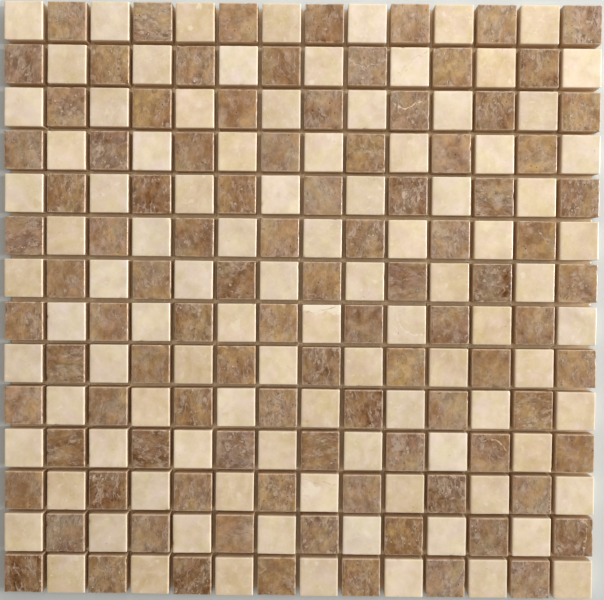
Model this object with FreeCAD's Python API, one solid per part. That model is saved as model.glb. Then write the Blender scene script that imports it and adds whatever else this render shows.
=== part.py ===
import FreeCAD, Part
import math
import os
import random

# Net-backed stone mosaic sheet, in millimetres.
# It lies face up on its net. The origin is the middle of the net's underside,
# +X runs along a row of tiles, +Y runs up the columns and +Z is out of the polished faces.

# The sheet is 12 inches square over its outer tiles
sheet_side = 304.8

# Tiles
tiles_per_side = 14
tile_side = 19.7
tile_thickness = 9.5
face_edge_radius = 0.45
corner_edge_radius = 0.4

# Hand setting: how far a tile may sit from its place, and how far it may be turned
setting_slip = 0.22
setting_turn_deg = 0.4
setting_seed = 14

# Glass-fibre net glued across the tile backs
net_thickness = 0.5
net_pitch = 5.48
strand_width = 0.9
net_inset = 1.0

# The net is kept in this many panels along X and Y, which meet end to end
net_panels_x = 4
net_panels_y = 2

joint_width = (sheet_side - tiles_per_side * tile_side) / (tiles_per_side - 1)
tile_pitch = tile_side + joint_width
net_side = sheet_side - 2 * net_inset

# Lengths that differ by less than this are taken as equal
length_tolerance = 1e-6

Z_AXIS = FreeCAD.Vector(0, 0, 1)


def place_along(index):
    """Centre of the tile with this index, counted from the low end of a row or column."""
    return (index - (tiles_per_side - 1) / 2) * tile_pitch


def stone_tile():
    """One tile on its own axis: upright corners eased first, then the edges round the face."""
    half = tile_side / 2
    corner = FreeCAD.Vector(-half, -half, net_thickness)
    block = Part.makeBox(tile_side, tile_side, tile_thickness, corner)
    upright = [e for e in block.Edges if e.BoundBox.ZLength > tile_thickness - length_tolerance]
    block = block.makeFillet(corner_edge_radius, upright)
    top = net_thickness + tile_thickness
    round_the_face = [e for e in block.Edges if e.BoundBox.ZMin > top - length_tolerance]
    return block.makeFillet(face_edge_radius, round_the_face)


def set_by_hand(tile, column, row, hand):
    """A copy of the tile in its place in the grid, a little off it as setting leaves it."""
    slip_x = hand.uniform(-setting_slip, setting_slip)
    slip_y = hand.uniform(-setting_slip, setting_slip)
    turn = hand.uniform(-setting_turn_deg, setting_turn_deg)
    place = FreeCAD.Vector(place_along(column) + slip_x, place_along(row) + slip_y, 0)
    laid = tile.copy()
    laid.Placement = FreeCAD.Placement(place, FreeCAD.Rotation(Z_AXIS, turn))
    return laid


def tile_rows():
    """Node name to its tiles: the cream and the brown ones of each row, row 01 being the highest in Y."""
    hand = random.Random(setting_seed)
    tile = stone_tile()
    nodes = {}
    for rows_down in range(tiles_per_side):
        row = tiles_per_side - 1 - rows_down
        for column in range(tiles_per_side):
            stone = "cream" if (column + rows_down) % 2 == 0 else "brown"
            name = f"{stone}_tiles_row_{rows_down + 1:02d}"
            nodes.setdefault(name, []).append(set_by_hand(tile, column, row, hand))
    return nodes


def strand_centres():
    """Centres of the parallel strands: one through the middle, then one each pitch to both sides."""
    room = net_side / 2 - strand_width / 2
    each_side = math.floor(room / net_pitch)
    return [k * net_pitch for k in range(-each_side, each_side + 1)]


def shares(items, count):
    """The list in this many runs of nearly equal length."""
    return [items[i * len(items) // count:(i + 1) * len(items) // count] for i in range(count)]


def spans(runs):
    """Low and high end of each run of strands.

    A run reaches from its own first strand to the next run's first strand, and the outer ends reach
    the trimmed edge of the net.
    """
    starts = [run[0] - strand_width / 2 for run in runs[1:]]
    return list(zip([-net_side / 2] + starts, starts + [net_side / 2]))


def comb_edge(strands, end, body_edge):
    """Points (along, across) of one side of a panel: flush, or with each strand ending as a tooth.

    The teeth reach from body_edge, the side of the outermost crosswise strand, out to end.
    """
    half = strand_width / 2
    if end == body_edge:
        return [(strands[0] - half, end), (strands[-1] + half, end)]
    points = []
    for centre in strands:
        points += [(centre - half, body_edge), (centre - half, end)]
        points += [(centre + half, end), (centre + half, body_edge)]
    return points


def closed_wire(points):
    """A closed outline at the net's underside."""
    corners = [FreeCAD.Vector(x, y, 0) for x, y in points]
    return Part.makePolygon(corners + corners[:1])


def without_repeats(points):
    """The outline without points that follow an equal one."""
    return [p for i, p in enumerate(points) if math.dist(p, points[i - 1]) > length_tolerance]


def net_panel(run_x, run_y, span_x, span_y):
    """One panel of the net: strands along both axes, fused where they cross."""
    half = strand_width / 2
    left, right = run_x[0] - half, run_x[-1] + half
    bottom, top = run_y[0] - half, run_y[-1] + half
    outline = comb_edge(run_x, span_y[0], bottom)
    outline += [(x, y) for y, x in comb_edge(run_y, span_x[1], right)]
    outline += comb_edge(run_x, span_y[1], top)[::-1]
    outline += [(x, y) for y, x in comb_edge(run_y, span_x[0], left)[::-1]]
    wires = [closed_wire(without_repeats(outline))]
    for x_low, x_high in zip(run_x, run_x[1:]):
        for y_low, y_high in zip(run_y, run_y[1:]):
            # A cell runs the other way round than the outline, which makes it a hole
            cell = [
                (x_low + half, y_low + half),
                (x_low + half, y_high - half),
                (x_high - half, y_high - half),
                (x_high - half, y_low + half),
            ]
            wires.append(closed_wire(cell))
    return Part.Face(wires).extrude(Z_AXIS * net_thickness)


def net_panels():
    """Node name to its panel of the net."""
    strands = strand_centres()
    runs_x, runs_y = shares(strands, net_panels_x), shares(strands, net_panels_y)
    nodes = {}
    for i, (run_x, span_x) in enumerate(zip(runs_x, spans(runs_x))):
        for j, (run_y, span_y) in enumerate(zip(runs_y, spans(runs_y))):
            nodes[f"backing_net_{i + 1}_{j + 1}"] = [net_panel(run_x, run_y, span_x, span_y)]
    return nodes


def write_parts():
    """One STEP file for each node."""
    os.makedirs("parts", exist_ok=True)
    for name, solids in {**tile_rows(), **net_panels()}.items():
        shape = solids[0] if len(solids) == 1 else Part.makeCompound(solids)
        shape.exportStep(f"parts/{name}.step")


write_parts()
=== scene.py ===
"""Finish of a net-backed stone mosaic sheet, lying face up on a pale floor."""

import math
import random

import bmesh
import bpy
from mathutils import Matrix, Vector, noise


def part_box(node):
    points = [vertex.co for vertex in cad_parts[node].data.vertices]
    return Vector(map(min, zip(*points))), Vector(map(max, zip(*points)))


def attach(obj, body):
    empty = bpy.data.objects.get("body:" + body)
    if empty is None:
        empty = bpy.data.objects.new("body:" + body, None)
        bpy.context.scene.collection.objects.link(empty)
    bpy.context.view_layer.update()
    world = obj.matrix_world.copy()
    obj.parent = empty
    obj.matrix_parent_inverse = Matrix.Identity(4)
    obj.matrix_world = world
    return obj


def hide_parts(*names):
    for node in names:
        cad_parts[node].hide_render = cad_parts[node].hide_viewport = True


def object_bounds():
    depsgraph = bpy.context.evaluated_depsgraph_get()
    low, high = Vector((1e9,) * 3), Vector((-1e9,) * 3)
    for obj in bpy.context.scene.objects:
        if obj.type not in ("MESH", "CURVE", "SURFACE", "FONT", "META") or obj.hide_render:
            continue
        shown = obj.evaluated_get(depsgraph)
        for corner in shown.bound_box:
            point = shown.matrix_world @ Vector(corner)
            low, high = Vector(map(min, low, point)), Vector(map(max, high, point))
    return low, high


bl_info = {
    "name": "Stone mosaic sheet",
    "version": (1, 0, 0),
    "blender": (4, 5, 0),
    "location": "3D View > Sidebar > Mosaic",
    "description": "Polished cream and brown stone tiles on a woven net, each in the place of its CAD solid",
    "category": "Object",
}

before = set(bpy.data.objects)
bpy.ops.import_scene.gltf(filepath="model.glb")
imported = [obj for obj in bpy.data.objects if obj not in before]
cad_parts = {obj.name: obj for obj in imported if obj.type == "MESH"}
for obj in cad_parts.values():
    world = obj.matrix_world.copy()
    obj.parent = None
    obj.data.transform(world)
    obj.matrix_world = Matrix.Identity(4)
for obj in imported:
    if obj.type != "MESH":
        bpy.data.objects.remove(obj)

# Lengths below are metres, written as millimetres times MM
MM = 0.001

CREAM_NODES = sorted(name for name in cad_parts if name.startswith("cream_tiles_row_"))
BROWN_NODES = sorted(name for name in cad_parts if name.startswith("brown_tiles_row_"))
NET_NODES = sorted(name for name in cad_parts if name.startswith("backing_net_"))

CAD_LOW, CAD_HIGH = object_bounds()
TILES_PER_SIDE = len(CREAM_NODES)
TILE_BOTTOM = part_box(CREAM_NODES[0])[0].z
TILE_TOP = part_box(CREAM_NODES[0])[1].z
NET_LOW, NET_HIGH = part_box(NET_NODES[0])[0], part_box(NET_NODES[-1])[1]


# Settings that a user would change


class TileSettings(bpy.types.PropertyGroup):
    """Shape of a tile beyond its plain solid."""

    side: bpy.props.FloatProperty(
        name="Side", description="Side of the square face, before its edges are eased",
        default=19.7 * MM, unit="LENGTH")
    cells: bpy.props.IntProperty(
        name="Cells", description="Cells along a side of the modelled face", default=16, min=8)
    face_edge_radius: bpy.props.FloatProperty(
        name="Face edge radius", description="Radius of the eased edges round the face",
        default=0.45 * MM, unit="LENGTH")
    corner_radius: bpy.props.FloatProperty(
        name="Corner radius", description="Radius of the upright corners", default=0.4 * MM, unit="LENGTH")
    edge_wander: bpy.props.FloatProperty(
        name="Edge wander", description="How far the eased edges wander inwards",
        default=0.08 * MM, unit="LENGTH")
    corner_break: bpy.props.FloatProperty(
        name="Corner break", description="How far the largest break reaches from its corner",
        default=0.9 * MM, unit="LENGTH")
    face_sag: bpy.props.FloatProperty(
        name="Face unevenness", description="Height of the gentle waves that polishing leaves in the face",
        default=0.02 * MM, unit="LENGTH")
    seed: bpy.props.IntProperty(name="Seed", description="Chooses every chance detail of the tiles", default=7)


class CreamSettings(bpy.types.PropertyGroup):
    """Colours and wear of the cream stone."""

    deep: bpy.props.FloatVectorProperty(
        name="Deep cream", description="Darker, yellower end of the stone's colours", subtype="COLOR",
        default=(0.682, 0.533, 0.357))
    light: bpy.props.FloatVectorProperty(
        name="Light cream", description="Lighter, whiter end of the stone's colours", subtype="COLOR",
        default=(0.815, 0.683, 0.521))
    cool: bpy.props.FloatVectorProperty(
        name="Cool tint", description="What the coolest stone's colour is multiplied by", subtype="COLOR",
        default=(0.970, 0.988, 1.035), soft_max=2.0)
    warm: bpy.props.FloatVectorProperty(
        name="Warm tint", description="What the warmest stone's colour is multiplied by", subtype="COLOR",
        default=(1.030, 1.012, 0.965), soft_max=2.0)
    smudge: bpy.props.FloatVectorProperty(
        name="Smudges", description="Small honey-coloured smudges", subtype="COLOR", default=(0.62, 0.45, 0.26))
    pale: bpy.props.FloatVectorProperty(
        name="Pale marks", description="Whitish clouds, bands and flecks", subtype="COLOR",
        default=(0.90, 0.80, 0.64))
    vein: bpy.props.FloatVectorProperty(
        name="Veins", description="Fine brown veins", subtype="COLOR", default=(0.42, 0.28, 0.15))
    pits: bpy.props.IntVectorProperty(
        name="Pits", description="Fewest and most open pits in a face", size=2, default=(0, 2))
    pit_radius: bpy.props.FloatProperty(
        name="Pit radius", description="Radius of the largest pits", default=0.35 * MM, unit="LENGTH")
    chips: bpy.props.IntProperty(name="Most chips", description="Most chips along one tile's edges", default=1)
    chip_reach: bpy.props.FloatProperty(
        name="Chip reach", description="How far the largest chip runs", default=1.1 * MM, unit="LENGTH")
    broken_corners: bpy.props.FloatProperty(
        name="Broken corners", description="Share of tiles with a corner broken off", default=0.06,
        subtype="FACTOR")
    along_bedding: bpy.props.FloatProperty(
        name="Along bedding", description="Share of tiles whose face shows the bedding on edge", default=0.3,
        subtype="FACTOR")


class BrownSettings(bpy.types.PropertyGroup):
    """Colours and wear of the brown stone."""

    deep: bpy.props.FloatVectorProperty(
        name="Deep brown", description="Darker, redder end of the stone's colours", subtype="COLOR",
        default=(0.255, 0.142, 0.068))
    light: bpy.props.FloatVectorProperty(
        name="Light brown", description="Lighter, greyer end of the stone's colours", subtype="COLOR",
        default=(0.416, 0.273, 0.163))
    cool: bpy.props.FloatVectorProperty(
        name="Cool tint", description="What the pinkish grey stone's colour is multiplied by", subtype="COLOR",
        default=(0.948, 0.988, 1.110), soft_max=2.0)
    warm: bpy.props.FloatVectorProperty(
        name="Warm tint", description="What the golden-brown stone's colour is multiplied by", subtype="COLOR",
        default=(1.050, 1.014, 0.875), soft_max=2.0)
    rust: bpy.props.FloatVectorProperty(
        name="Rust", description="Rust-brown zones", subtype="COLOR", default=(0.285, 0.155, 0.068))
    haze: bpy.props.FloatVectorProperty(
        name="Haze", description="Pale greyish patches", subtype="COLOR", default=(0.50, 0.395, 0.32))
    clast: bpy.props.FloatVectorProperty(
        name="Clasts", description="Pinkish grains, paler than the stone between them", subtype="COLOR",
        default=(0.56, 0.415, 0.305))
    dark: bpy.props.FloatVectorProperty(
        name="Dark clouds", description="Darkest clouds", subtype="COLOR", default=(0.17, 0.095, 0.048))
    # Pale marks also lighten the rim of the face: partly wear, partly a painted highlight
    pale: bpy.props.FloatVectorProperty(
        name="Pale marks", description="Pale wisps, flecks and worn edges", subtype="COLOR",
        default=(0.74, 0.58, 0.43))
    # Used on pit floors and chips: partly the pits' dark filling, partly painted shade in these hollows
    pit_fill_and_shade: bpy.props.FloatVectorProperty(
        name="Pit filling", description="Dark filling of the pits", subtype="COLOR", default=(0.07, 0.04, 0.02))
    pits: bpy.props.IntVectorProperty(
        name="Pits", description="Fewest and most open pits in a face", size=2, default=(3, 12))
    pit_radius: bpy.props.FloatProperty(
        name="Pit radius", description="Radius of the largest pits", default=0.40 * MM, unit="LENGTH")
    chips: bpy.props.IntProperty(name="Most chips", description="Most chips along one tile's edges", default=5)
    chip_reach: bpy.props.FloatProperty(
        name="Chip reach", description="How far the largest chip runs", default=1.5 * MM, unit="LENGTH")
    broken_corners: bpy.props.FloatProperty(
        name="Broken corners", description="Share of tiles with a corner broken off", default=0.25,
        subtype="FACTOR")
    along_bedding: bpy.props.FloatProperty(
        name="Along bedding", description="Share of tiles whose face shows the bedding on edge", default=0.85,
        subtype="FACTOR")


class NetSettings(bpy.types.PropertyGroup):
    """The glass-fibre net and its adhesive."""

    yarn_thickness: bpy.props.FloatProperty(
        name="Yarn thickness", description="Thickness of a flattened yarn", default=0.25 * MM, unit="LENGTH")
    yarn_sides: bpy.props.IntProperty(name="Yarn sides", description="Sides of a yarn's section", default=6, min=4)
    sway: bpy.props.FloatProperty(
        name="Sway", description="How far a yarn strays to either side", default=0.25 * MM, unit="LENGTH")
    fray: bpy.props.FloatProperty(
        name="Fray", description="How unevenly the yarns are cut at the edge", default=0.5 * MM, unit="LENGTH")
    yarn_colour: bpy.props.FloatVectorProperty(
        name="Yarn", description="Colour of the sized glass fibre", subtype="COLOR", default=(0.92, 0.82, 0.64))
    glue_colour: bpy.props.FloatVectorProperty(
        name="Adhesive", description="Colour of the dried adhesive", subtype="COLOR", default=(0.71, 0.52, 0.29))
    glue_reach: bpy.props.FloatProperty(
        name="Glue reach", description="How far the adhesive reaches from the middle of its tile",
        default=11.2 * MM, unit="LENGTH")
    glue_thickness: bpy.props.FloatProperty(
        name="Glue thickness", description="Thickness of the dried adhesive", default=0.16 * MM, unit="LENGTH")


class StageSettings(bpy.types.PropertyGroup):
    """Floor, light and camera."""

    floor_colour: bpy.props.FloatVectorProperty(
        name="Floor", description="Colour of the floor", subtype="COLOR", default=(0.600, 0.632, 0.640))
    window_power: bpy.props.FloatProperty(
        name="Window", description="Power of the broad light at the right", default=117.0, unit="POWER")
    window_place: bpy.props.FloatVectorProperty(
        name="Window place", description="Middle of the broad light at the right", default=(3.0, 0.20, 1.05),
        unit="LENGTH")
    far_power: bpy.props.FloatProperty(
        name="Far light", description="Power of the softer light beyond the far edge", default=1.25, unit="POWER")
    far_place: bpy.props.FloatVectorProperty(
        name="Far light place", description="Middle of the softer light", default=(0.12, 0.42, 0.34),
        unit="LENGTH")
    sky: bpy.props.FloatProperty(
        name="Sky", description="Strength of the even light from all round", default=0.422)
    camera_place: bpy.props.FloatVectorProperty(
        name="Camera place", description="Where the camera stands", default=(0.0030, 0.0141, 0.4705),
        unit="LENGTH")
    camera_turn: bpy.props.FloatVectorProperty(
        name="Camera turn", description="Turns about X, Y and Z away from looking straight down",
        default=tuple(math.radians(angle) for angle in (-1.61, 0.27, 0.56)), subtype="EULER")
    lens: bpy.props.FloatProperty(
        name="Lens", description="Focal length for a sensor 36 mm wide", default=53.45, unit="CAMERA")


class MosaicSettings(bpy.types.PropertyGroup):
    """All settings of the mosaic sheet."""

    tile: bpy.props.PointerProperty(type=TileSettings)
    cream: bpy.props.PointerProperty(type=CreamSettings)
    brown: bpy.props.PointerProperty(type=BrownSettings)
    net: bpy.props.PointerProperty(type=NetSettings)
    stage: bpy.props.PointerProperty(type=StageSettings)


# Node trees

# What the colour of a stone's rosiest and most olive zones is multiplied by
ROSY = (1.018, 0.982, 1.020, 1.0)
OLIVE = (0.984, 1.020, 0.975, 1.0)

# Brown of the tiles' sides low in the joints: partly a stain, partly painted shade deep in the joints
JOINT_STAIN_AND_SHADE = (0.70, 0.45, 0.21)


def add(tree, kind, inputs=(), **settings):
    """A new node with these settings. Each input is a value, or a socket to link from."""
    made = tree.nodes.new(kind)
    for name, value in settings.items():
        setattr(made, name, value)
    for key, value in dict(inputs).items():
        if isinstance(value, bpy.types.NodeSocket):
            tree.links.new(value, made.inputs[key])
        else:
            made.inputs[key].default_value = value
    return made


def calc(tree, operation, *values):
    """Output of a Math node."""
    return add(tree, "ShaderNodeMath", dict(enumerate(values)), operation=operation).outputs[0]


def vector_calc(tree, operation, *values):
    """Output of a Vector Math node."""
    return add(tree, "ShaderNodeVectorMath", dict(enumerate(values)), operation=operation).outputs[0]


def scaled(tree, vector, factor):
    """The vector times a number."""
    made = add(tree, "ShaderNodeVectorMath", {0: vector, "Scale": factor}, operation="SCALE")
    return made.outputs[0]


def blend(tree, share, first, second, beyond=False):
    """Colour between first and second, and past them where the share may go beyond 0 and 1."""
    made = add(
        tree, "ShaderNodeMix", {0: share, 6: first, 7: second}, data_type="RGBA", clamp_factor=not beyond)
    return made.outputs[2]


def ease(tree, value, low, high, start=0.0, end=1.0):
    """The value carried smoothly from low..high to start..end."""
    made = add(
        tree, "ShaderNodeMapRange",
        {"Value": value, "From Min": low, "From Max": high, "To Min": start, "To Max": end},
        interpolation_type="SMOOTHSTEP")
    return made.outputs[0]


def new_group(name, inputs, outputs):
    """A shader node group, with its input sockets and its output sockets."""
    tree = bpy.data.node_groups.new(name, "ShaderNodeTree")
    for label, (kind, default) in inputs.items():
        socket = tree.interface.new_socket(label, in_out="INPUT", socket_type=f"NodeSocket{kind}")
        socket.default_value = default
    for label, kind in outputs.items():
        tree.interface.new_socket(label, in_out="OUTPUT", socket_type=f"NodeSocket{kind}")
    return tree, tree.nodes.new("NodeGroupInput").outputs, tree.nodes.new("NodeGroupOutput").inputs


def use_group(tree, name, inputs):
    """Outputs of a node that places a group, with its inputs set or linked."""
    made = add(tree, "ShaderNodeGroup", node_tree=bpy.data.node_groups[name])
    for key, value in inputs.items():
        if isinstance(value, bpy.types.NodeSocket):
            tree.links.new(value, made.inputs[key])
        else:
            made.inputs[key].default_value = value
    return made.outputs


def rgba(colour):
    """The colour with full opacity."""
    return (*colour, 1.0)


def bedding_group():
    """Where a point lies in the quarry block, in millimetres, pulled out along the bedding and warped."""
    tree, given, out = new_group(
        "Bedding",
        {"Place": ("Vector", (0, 0, 0)), "Stretch": ("Float", 1.0), "Warp": ("Float", 1.0)},
        {"Place": "Vector"})
    along = calc(tree, "DIVIDE", 1.0, given["Stretch"])
    squeeze = add(tree, "ShaderNodeCombineXYZ", {"X": along, "Y": along, "Z": 1.0}).outputs[0]
    place = vector_calc(tree, "MULTIPLY", scaled(tree, given["Place"], 1 / MM), squeeze)
    swirl = add(tree, "ShaderNodeTexNoise", {"Vector": place, "Scale": 0.17, "Detail": 3.0})
    push = vector_calc(tree, "SUBTRACT", swirl.outputs["Color"], (0.5, 0.5, 0.5))
    tree.links.new(vector_calc(tree, "ADD", place, scaled(tree, push, given["Warp"])), out["Place"])


def clouds_group():
    """Soft clouds from 0 to 1, of this size in millimetres; contrast spreads them about one half."""
    tree, given, out = new_group(
        "Clouds",
        {"Place": ("Vector", (0, 0, 0)), "Size": ("Float", 5.0), "Detail": ("Float", 5.0),
         "Roughness": ("Float", 0.6), "Contrast": ("Float", 2.0)},
        {"Value": "Float"})
    scale = calc(tree, "DIVIDE", 1.0, given["Size"])
    cloud = add(tree, "ShaderNodeTexNoise", {
        "Vector": given["Place"], "Scale": scale, "Detail": given["Detail"], "Roughness": given["Roughness"]})
    centred = calc(tree, "SUBTRACT", cloud.outputs[0], 0.5)
    spread = calc(tree, "MULTIPLY", centred, given["Contrast"])
    made = add(tree, "ShaderNodeMath", {0: spread, 1: 0.5}, operation="ADD", use_clamp=True)
    tree.links.new(made.outputs[0], out["Value"])


def specks_group():
    """Scattered ragged specks, and the gap round each: one in a cell of this size, where only a share has one."""
    tree, given, out = new_group(
        "Specks",
        {"Place": ("Vector", (0, 0, 0)), "Cell": ("Float", 2.0), "Radius": ("Float", 0.3),
         "Share": ("Float", 0.3)},
        {"Mask": "Float", "Gap": "Float"})
    small = scaled(tree, given["Place"], calc(tree, "DIVIDE", 1.0, given["Cell"]))
    swirl = add(tree, "ShaderNodeTexNoise", {"Vector": small, "Scale": 2.2, "Detail": 4.0})
    push = scaled(tree, vector_calc(tree, "SUBTRACT", swirl.outputs["Color"], (0.5, 0.5, 0.5)), 0.75)
    cells = add(tree, "ShaderNodeTexVoronoi", {
        "Vector": vector_calc(tree, "ADD", small, push), "Scale": 1.0})
    chance = add(tree, "ShaderNodeSeparateColor", {"Color": cells.outputs["Color"]}).outputs
    there = calc(tree, "LESS_THAN", chance[0], given["Share"])
    radius = calc(tree, "MULTIPLY", given["Radius"], calc(tree, "ADD", chance[1], 0.35))
    mask = ease(tree, cells.outputs["Distance"], radius, calc(tree, "MULTIPLY", radius, 0.62))
    around = ease(tree, cells.outputs["Distance"], calc(tree, "MULTIPLY", radius, 1.6), radius)
    strength = calc(tree, "MULTIPLY", there, calc(tree, "MULTIPLY_ADD", chance[2], 0.6, 0.4))
    tree.links.new(calc(tree, "MULTIPLY", mask, strength), out["Mask"])
    tree.links.new(calc(tree, "MULTIPLY", calc(tree, "SUBTRACT", around, mask), strength), out["Gap"])


def threads_group():
    """Thin winding threads, such as veins and wisps, that come and go."""
    tree, given, out = new_group(
        "Threads",
        {"Place": ("Vector", (0, 0, 0)), "Size": ("Float", 6.0), "Width": ("Float", 0.05),
         "Share": ("Float", 0.5)},
        {"Mask": "Float"})
    scale = calc(tree, "DIVIDE", 1.0, given["Size"])
    field = add(tree, "ShaderNodeTexNoise", {
        "Vector": given["Place"], "Scale": scale, "Detail": 2.5, "Roughness": 0.55})
    off = calc(tree, "ABSOLUTE", calc(tree, "SUBTRACT", field.outputs[0], 0.5))
    line = ease(tree, off, given["Width"], 0.0)
    elsewhere = vector_calc(tree, "ADD", given["Place"], (37.0, 11.0, 5.0))
    gate = add(tree, "ShaderNodeTexNoise", {"Vector": elsewhere, "Scale": calc(tree, "MULTIPLY", scale, 1.6)})
    edge = calc(tree, "SUBTRACT", 0.85, calc(tree, "MULTIPLY", given["Share"], 0.7))
    shown = ease(tree, gate.outputs[0], calc(tree, "SUBTRACT", edge, 0.12), calc(tree, "ADD", edge, 0.12))
    tree.links.new(calc(tree, "MULTIPLY", line, shown), out["Mask"])


def arc_mark_group():
    """A curved line on a tile and the uneven disc inside it.

    Arc holds the middle, in millimetres right of and above the tile's own, and the radius; 0 is no mark.
    The line is drawn only where it faces the middle of the tile.
    """
    tree, given, out = new_group(
        "Arc mark",
        {"On tile": ("Vector", (0, 0, 0)), "Arc": ("Vector", (0, 0, 0)), "Width": ("Float", 0.5),
         "Bend": ("Float", 3.0)},
        {"Line": "Float", "Disc": "Float"})
    place = scaled(tree, given["On tile"], 1 / MM)
    wave = add(tree, "ShaderNodeTexNoise", {"Vector": place, "Scale": 0.23, "Detail": 3.0})
    bend = scaled(tree, vector_calc(tree, "SUBTRACT", wave.outputs["Color"], (0.5, 0.5, 0.5)), given["Bend"])
    flat = vector_calc(tree, "MULTIPLY", vector_calc(tree, "ADD", place, bend), (1.0, 1.0, 0.0))
    middle = vector_calc(tree, "MULTIPLY", given["Arc"], (1.0, 1.0, 0.0))
    arm = vector_calc(tree, "SUBTRACT", flat, middle)
    reach = add(tree, "ShaderNodeVectorMath", {0: arm}, operation="LENGTH").outputs["Value"]
    radius = add(tree, "ShaderNodeSeparateXYZ", {0: given["Arc"]}).outputs[2]
    there = calc(tree, "GREATER_THAN", radius, 0.0)
    beyond = calc(tree, "SUBTRACT", reach, radius)
    towards = add(
        tree, "ShaderNodeVectorMath",
        {0: vector_calc(tree, "NORMALIZE", arm), 1: vector_calc(tree, "NORMALIZE", scaled(tree, middle, -1.0))},
        operation="DOT_PRODUCT").outputs["Value"]
    drawn = calc(tree, "MULTIPLY", there, ease(tree, towards, 0.45, 0.80))
    thickness = add(tree, "ShaderNodeTexNoise", {"Vector": place, "Scale": 0.45, "Detail": 2.0}).outputs[0]
    width = calc(tree, "MULTIPLY", given["Width"], ease(tree, thickness, 0.35, 0.62, 0.25, 1.5))
    line = ease(tree, calc(tree, "ABSOLUTE", beyond), width, 0.0)
    disc = ease(tree, beyond, 0.7, -0.7)
    tree.links.new(calc(tree, "MULTIPLY", line, drawn), out["Line"])
    tree.links.new(calc(tree, "MULTIPLY", disc, there), out["Disc"])


def tile_zones_group():
    """Masks of a tile's zones.

    They are the sawn sides and back, the rim just inside the edges of the polished face, a wider border of
    the face, and the low part of the sides in the joints.
    """
    tree, given, out = new_group(
        "Tile zones",
        {"On tile": ("Vector", (0, 0, 0)), "Half side": ("Float", 9.85 * MM), "Rim": ("Float", 0.75 * MM),
         "Border": ("Float", 5.0 * MM)},
        {"Sawn": "Float", "Rim": "Float", "Border": "Float", "Low": "Float"})
    size = vector_calc(tree, "ABSOLUTE", given["On tile"])
    parts = add(tree, "ShaderNodeSeparateXYZ", {0: size}).outputs
    inside = calc(tree, "SUBTRACT", given["Half side"], calc(tree, "MAXIMUM", parts[0], parts[1]))
    depth = calc(tree, "SUBTRACT", TILE_TOP - TILE_BOTTOM, parts[2])
    sawn = ease(tree, depth, 0.35 * MM, 0.95 * MM)
    tree.links.new(sawn, out["Sawn"])
    face = calc(tree, "SUBTRACT", 1.0, sawn)
    for name in ("Rim", "Border"):
        tree.links.new(calc(tree, "MULTIPLY", ease(tree, inside, given[name], 0.0), face), out[name])
    sheet = vector_calc(tree, "ABSOLUTE", add(tree, "ShaderNodeTexCoord").outputs["Object"])
    parts = add(tree, "ShaderNodeSeparateXYZ", {0: sheet}).outputs
    to_outline = calc(tree, "SUBTRACT", CAD_HIGH.x, calc(tree, "MAXIMUM", parts[0], parts[1]))
    in_joint = ease(tree, to_outline, 0.6 * MM, 1.4 * MM)
    tree.links.new(calc(tree, "MULTIPLY", ease(tree, depth, 0.4 * MM, 2.0 * MM), in_joint), out["Low"])


def saw_marks_group():
    """Height of the fine parallel lines that a saw leaves, from 0 to 1."""
    tree, given, out = new_group("Saw marks", {"On tile": ("Vector", (0, 0, 0))}, {"Height": "Float"})
    place = vector_calc(tree, "MULTIPLY", scaled(tree, given["On tile"], 1 / MM), (0.35, 0.35, 6.0))
    lines = add(tree, "ShaderNodeTexNoise", {"Vector": place, "Scale": 0.8, "Detail": 4.0})
    tree.links.new(lines.outputs[0], out["Height"])


SHARED_GROUPS = (
    bedding_group, clouds_group, specks_group, threads_group, arc_mark_group, tile_zones_group, saw_marks_group)


def attribute(tree, name):
    """Vector output of a mesh attribute."""
    return add(tree, "ShaderNodeAttribute", attribute_name=name, attribute_type="GEOMETRY").outputs["Vector"]


def number_attribute(tree, name):
    """Number output of a mesh attribute."""
    return add(tree, "ShaderNodeAttribute", attribute_name=name, attribute_type="GEOMETRY").outputs["Fac"]


def new_material(name, roughness, ior=1.5):
    """A material with its tree, its Principled shader and nothing linked."""
    material = bpy.data.materials.new(name)
    material.use_nodes = True
    shader = material.node_tree.nodes["Principled BSDF"]
    shader.inputs["Roughness"].default_value = roughness
    shader.inputs["IOR"].default_value = ior
    return material, material.node_tree, shader


def sway(tree, value, *patterns):
    """The value, plus how far each pattern is from its middle times its weight."""
    for pattern, weight in patterns:
        off = calc(tree, "SUBTRACT", pattern, 0.5)
        value = calc(tree, "MULTIPLY_ADD", off, weight, value)
    return value


def stone_colour(tree, look, lightness, warmth, greenness):
    """Colour of the stone from deep to light, cool to warm and rosy to olive, each from 0 to 1 or beyond."""
    colour = blend(tree, lightness, rgba(look.deep), rgba(look.light), beyond=True)
    tint = blend(tree, warmth, rgba(look.cool), rgba(look.warm), beyond=True)
    colour = vector_calc(tree, "MULTIPLY", colour, tint)
    tint = blend(tree, greenness, ROSY, OLIVE, beyond=True)
    return vector_calc(tree, "MULTIPLY", colour, tint)


def draw_marks(tree, colour, on_tile, pale_vein, pale_patch, dark):
    """The tile's own vein and patch over its colour: pale where their strength is positive, else dark."""
    strengths = add(tree, "ShaderNodeSeparateXYZ", {0: attribute(tree, "mark")}).outputs
    vein = use_group(tree, "Arc mark", {
        "On tile": on_tile, "Arc": attribute(tree, "vein"), "Width": 0.45, "Bend": 7.0})["Line"]
    patch = use_group(tree, "Arc mark", {
        "On tile": on_tile, "Arc": attribute(tree, "patch"), "Bend": 11.0})["Disc"]
    for mask, strength, pale in ((patch, strengths[1], pale_patch), (vein, strengths[0], pale_vein)):
        share = calc(tree, "MULTIPLY", mask, calc(tree, "MAXIMUM", strength, 0.0))
        colour = blend(tree, share, colour, rgba(pale))
        share = calc(tree, "MULTIPLY", mask, calc(tree, "MAXIMUM", calc(tree, "MULTIPLY", strength, -1.0), 0.0))
        colour = blend(tree, share, colour, rgba(dark))
    return colour


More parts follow.
